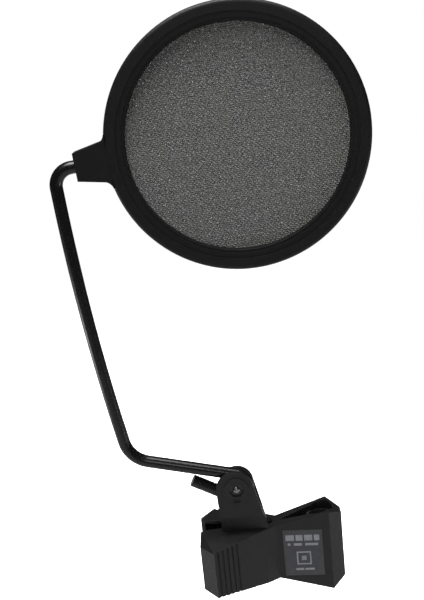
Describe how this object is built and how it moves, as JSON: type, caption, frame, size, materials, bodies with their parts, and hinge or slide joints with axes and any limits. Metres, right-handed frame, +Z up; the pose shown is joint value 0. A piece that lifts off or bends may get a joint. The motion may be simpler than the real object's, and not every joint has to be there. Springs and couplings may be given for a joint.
{
  "type": "pop filter",
  "caption": "Round cloth pop filter on a bent rod arm that pivots in a spring clip for a microphone stand tube.",
  "frame": {"origin": "centre of the clip's round grip, on the axis of the tube that it holds", "axes": "+Z up along the gripped tube, +X from the clip's handles to its jaws, -Y the side with the label and the pivot nut"},
  "size_m": [0.196, 0.0646, 0.3851],
  "materials": {
    "hoop_plastic": "satin moulded black plastic",
    "filter_cloth": "woven black nylon",
    "painted_rod": "black powder coat",
    "clip_plastic": "fine-grained moulded black plastic",
    "pad_rubber": "matt ribbed rubber",
    "bush_plastic": "natural acetal",
    "washer_fibre": "black fibre",
    "bright_steel": "bright zinc plate",
    "dark_steel": "black zinc plate",
    "spring_wire": "drawn spring wire",
    "label_film": "printed film"
  },
  "bodies": {
    "clip": {"clip_front": "clip_plastic", "jaw_pad_front": "pad_rubber", "label_plate": "label_film", "hinge_pin": "dark_steel", "pin_retainer": "dark_steel", "torsion_spring": "spring_wire", "pivot_bolt": "bright_steel", "pivot_nut": "dark_steel", "rear_washer": "bright_steel", "friction_washers": "washer_fibre"},
    "rear_jaw": {"clip_rear": "clip_plastic", "jaw_pad_rear": "pad_rubber"},
    "arm": {"arm_rod": "painted_rod", "rod_retainer": "bright_steel", "pivot_bush": "bush_plastic"},
    "hoop": {"hoop_front_shell": "hoop_plastic", "hoop_rear_shell": "hoop_plastic", "mesh_front": "filter_cloth", "mesh_rear": "filter_cloth", "mesh_spacer": "hoop_plastic", "hoop_screws": "dark_steel", "socket_bush": "bush_plastic"}
  },
  "joints": [
    {"name": "clamp_hinge", "type": "hinge", "parent": "clip", "child": "rear_jaw", "pos_m": [-0.036, 0, 0], "axis": [0, 0, 1], "range_deg": [0, 15], "stiffness_Nm_per_rad": 1.5, "deforming": ["torsion_spring"]},
    {"name": "arm_pivot", "type": "hinge", "parent": "clip", "child": "arm", "pos_m": [-0.054, -0.00778, 0.0512], "axis": [0, 1, 0], "range_deg": [-45, 110]},
    {"name": "hoop_swivel", "type": "hinge", "parent": "arm", "child": "hoop", "pos_m": [-0.03253, -0.00778, 0.27704], "axis": [0.9968, 0, 0.0802], "range_deg": [-90, 90]}
  ]
}
